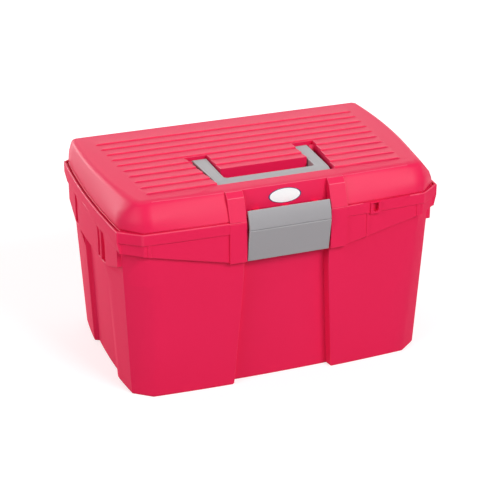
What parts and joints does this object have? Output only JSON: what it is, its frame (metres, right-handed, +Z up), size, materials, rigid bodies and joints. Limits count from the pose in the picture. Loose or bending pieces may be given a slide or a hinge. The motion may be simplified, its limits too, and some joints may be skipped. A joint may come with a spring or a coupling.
{
  "type": "horse grooming box",
  "caption": "Moulded carrying box with a ribbed hinged lid, fold-flat handle, front clasp and lift-out divided tray, for brushes and other stable gear.",
  "frame": {"origin": "middle of the floor rectangle under the box, on the surface it stands on", "axes": "+X along the length to the right as seen from the front, -Y to the clasp at the front, +Z up"},
  "size_m": [0.406, 0.287, 0.2513],
  "materials": {
    "box_plastic": "satin raspberry polypropylene",
    "grey_plastic": "satin light grey",
    "tray_plastic": "satin light grey",
    "pin_steel": "drawn wire",
    "label_face": "white with a dark blue edge"
  },
  "bodies": {
    "base": {"base_tub": "box_plastic", "hinge_pin_left": "pin_steel", "hinge_pin_right": "pin_steel"},
    "lid": {"lid": "box_plastic", "label": "label_face", "latch_pin": "pin_steel", "handle_pin_left": "pin_steel", "handle_pin_right": "pin_steel"},
    "handle": {"handle": "grey_plastic"},
    "latch": {"latch": "grey_plastic"},
    "tray": {"tray": "tray_plastic", "tray_grip": "tray_plastic", "tray_divider_left": "tray_plastic", "tray_divider_right": "tray_plastic"}
  },
  "joints": [
    {"name": "lid_hinge", "type": "hinge", "parent": "base", "child": "lid", "pos_m": [0, 0.139, 0.217], "axis": [-1, 0, 0], "range_deg": [0, 105]},
    {"name": "handle_fold", "type": "hinge", "parent": "lid", "child": "handle", "pos_m": [0, -0.0137, 0.2409], "axis": [-1, 0, 0], "range_deg": [0, 90]},
    {"name": "latch_swing", "type": "hinge", "parent": "lid", "child": "latch", "pos_m": [0, -0.1325, 0.2226], "axis": [-1, 0, 0], "range_deg": [0, 70]},
    {"name": "tray_lift", "type": "slide", "parent": "base", "child": "tray", "axis": [0, 0, 1], "range_m": [0, 0.015]}
  ]
}
